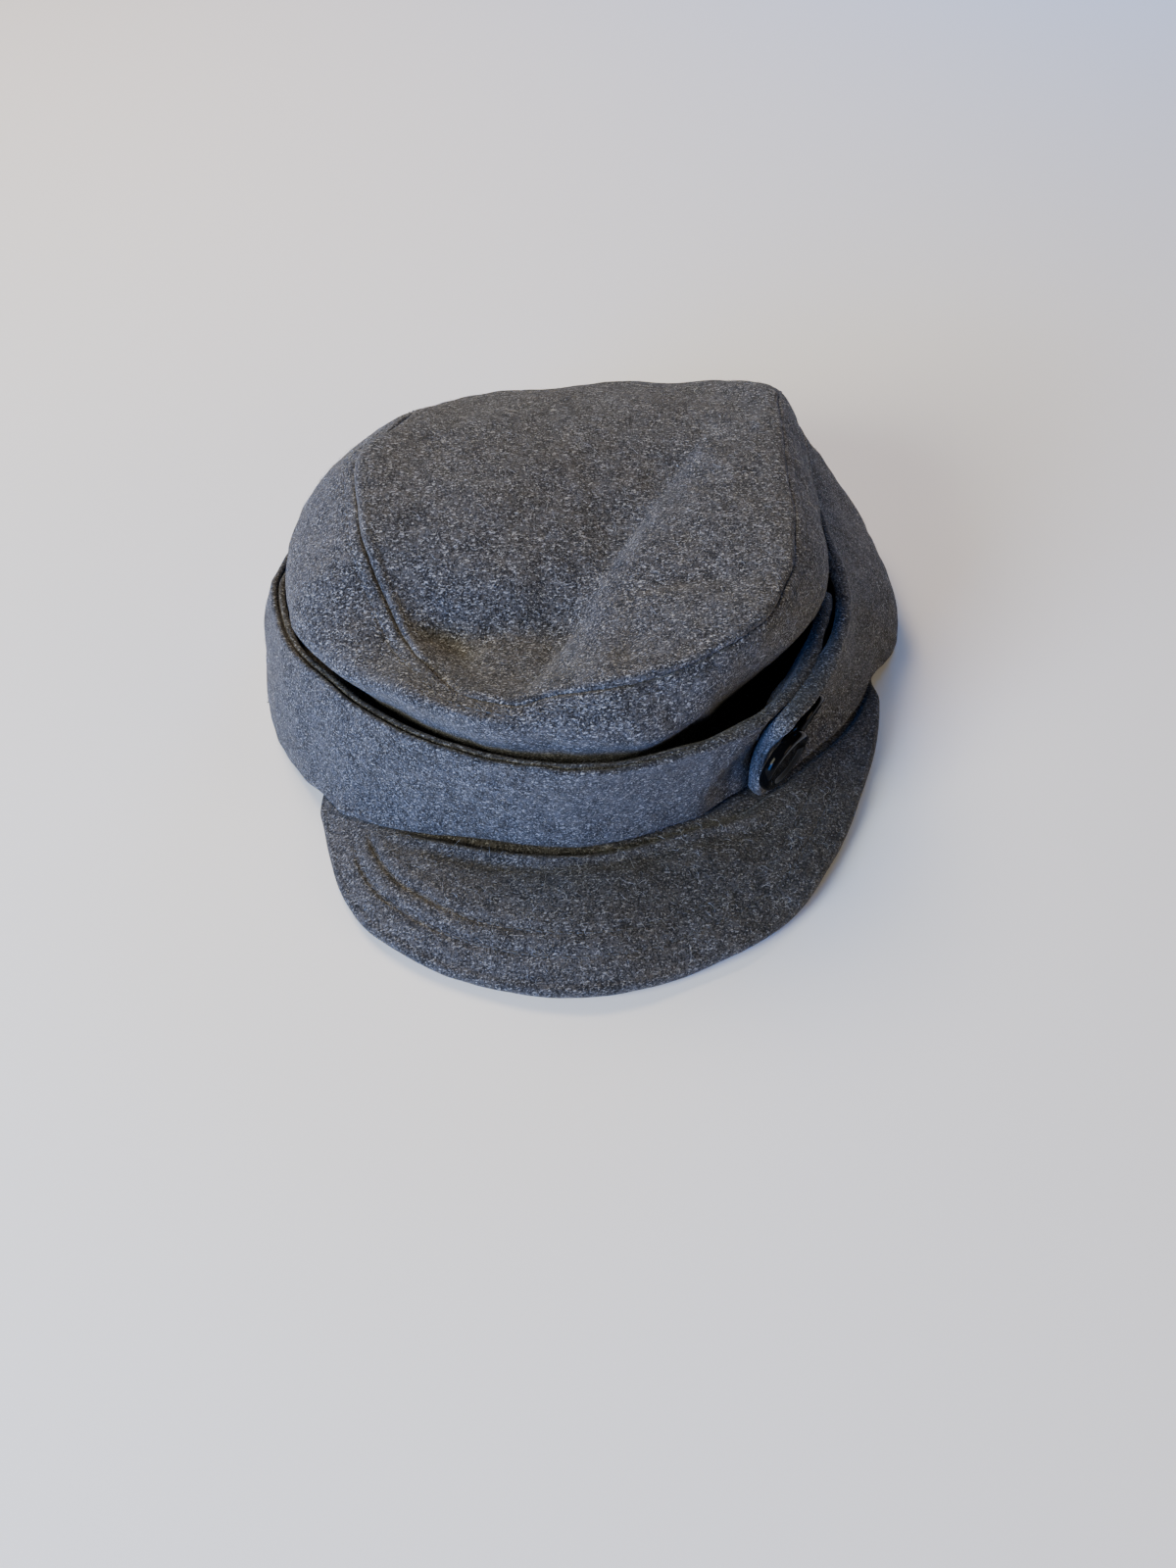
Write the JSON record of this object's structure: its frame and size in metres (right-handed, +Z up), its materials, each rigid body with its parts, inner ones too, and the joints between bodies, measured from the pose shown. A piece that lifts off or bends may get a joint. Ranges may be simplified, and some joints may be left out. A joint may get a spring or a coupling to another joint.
{
  "type": "wool cadet cap",
  "caption": "Low soft wool cap with a short curved peak and a turned-up band that laps over itself at one side under a pair of glossy buttons.",
  "frame": {"origin": "middle of the cap's footprint on the surface that it lies on", "axes": "+Z up out of the surface; the peak points along -Y and the back of the head along +Y; +X is the wearer's left, where the band laps"},
  "size_m": [0.2182, 0.239, 0.0813],
  "materials": {
    "crown_wool": "dark heather grey fulled wool with a light fuzz",
    "band_wool": "dark heather grey fulled wool, doubled",
    "visor_wool": "dark heather grey fulled wool over an interlining",
    "button_gloss": "glossy black"
  },
  "bodies": {
    "root": {"crown_top": "crown_wool", "crown_side": "crown_wool", "band": "band_wool", "visor": "visor_wool", "button_front": "button_gloss", "button_rear": "button_gloss"}
  },
  "joints": []
}
